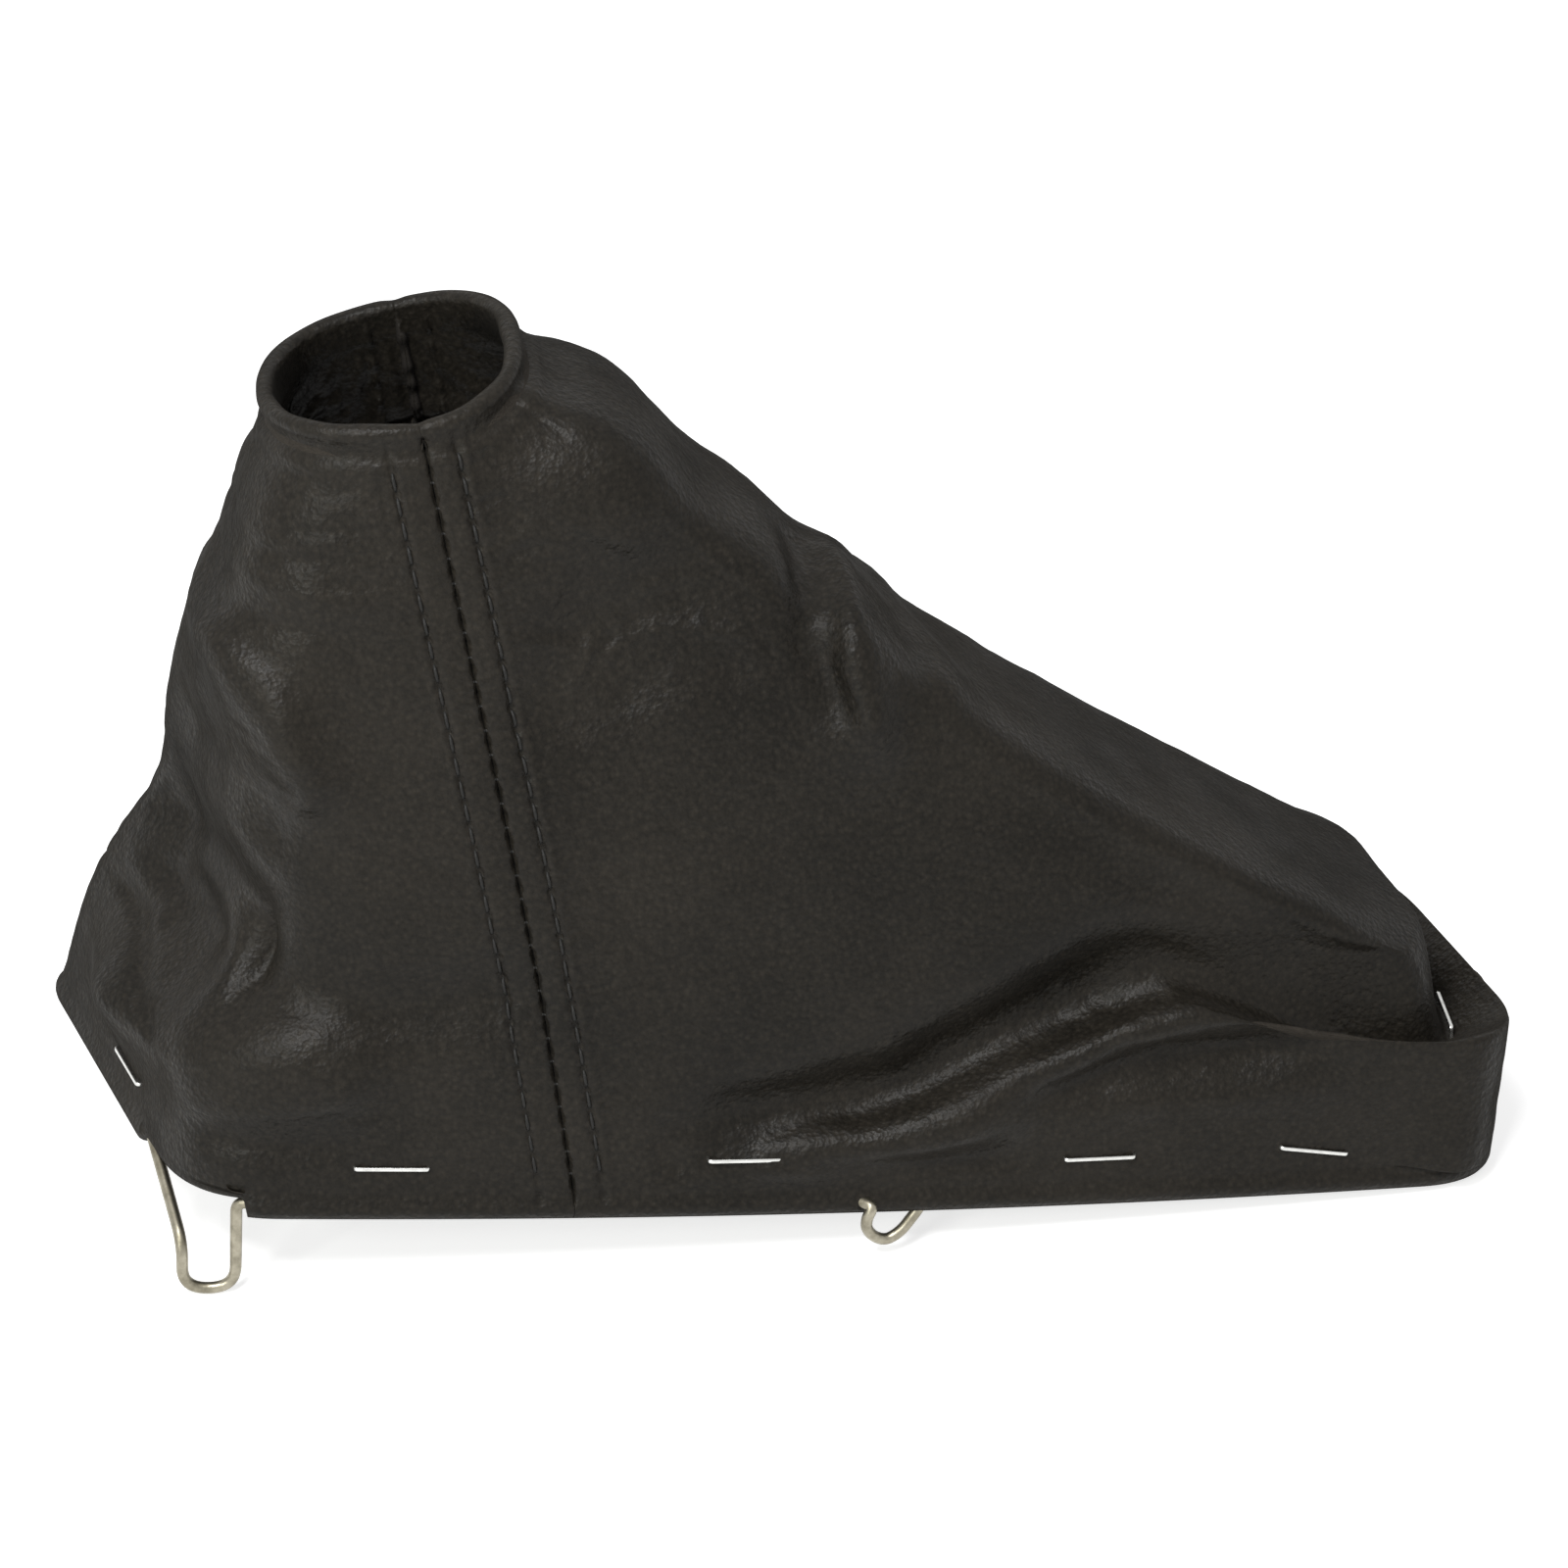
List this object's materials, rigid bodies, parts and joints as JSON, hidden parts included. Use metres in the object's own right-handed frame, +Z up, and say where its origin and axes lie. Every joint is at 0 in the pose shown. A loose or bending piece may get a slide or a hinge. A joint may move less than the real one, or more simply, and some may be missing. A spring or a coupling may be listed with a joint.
{
  "type": "handbrake boot",
  "caption": "Tapered black leather gaiter with a turned-in lever collar, a long slope to the rear, a stapled hem and a bent wire frame with clips.",
  "frame": {"origin": "middle of the bounding box in X and Y, at the surface that the boot stands on", "axes": "+Z up, +X towards the low rear end of the boot, -Y towards the side with the near seam"},
  "size_m": [0.2484, 0.0886, 0.1561],
  "materials": {
    "leather": "grained, satin",
    "wire": "drawn wire",
    "staple": "bright"
  },
  "bodies": {
    "root": {"front_panel": "leather", "rear_panel": "leather", "wire_frame": "wire", "staple_front": "staple", "staple_rear_near": "staple", "staple_rear_far": "staple", "staple_near_1": "staple", "staple_near_2": "staple", "staple_near_3": "staple", "staple_near_4": "staple", "staple_far_1": "staple", "staple_far_2": "staple", "staple_far_3": "staple", "staple_far_4": "staple"}
  },
  "joints": []
}
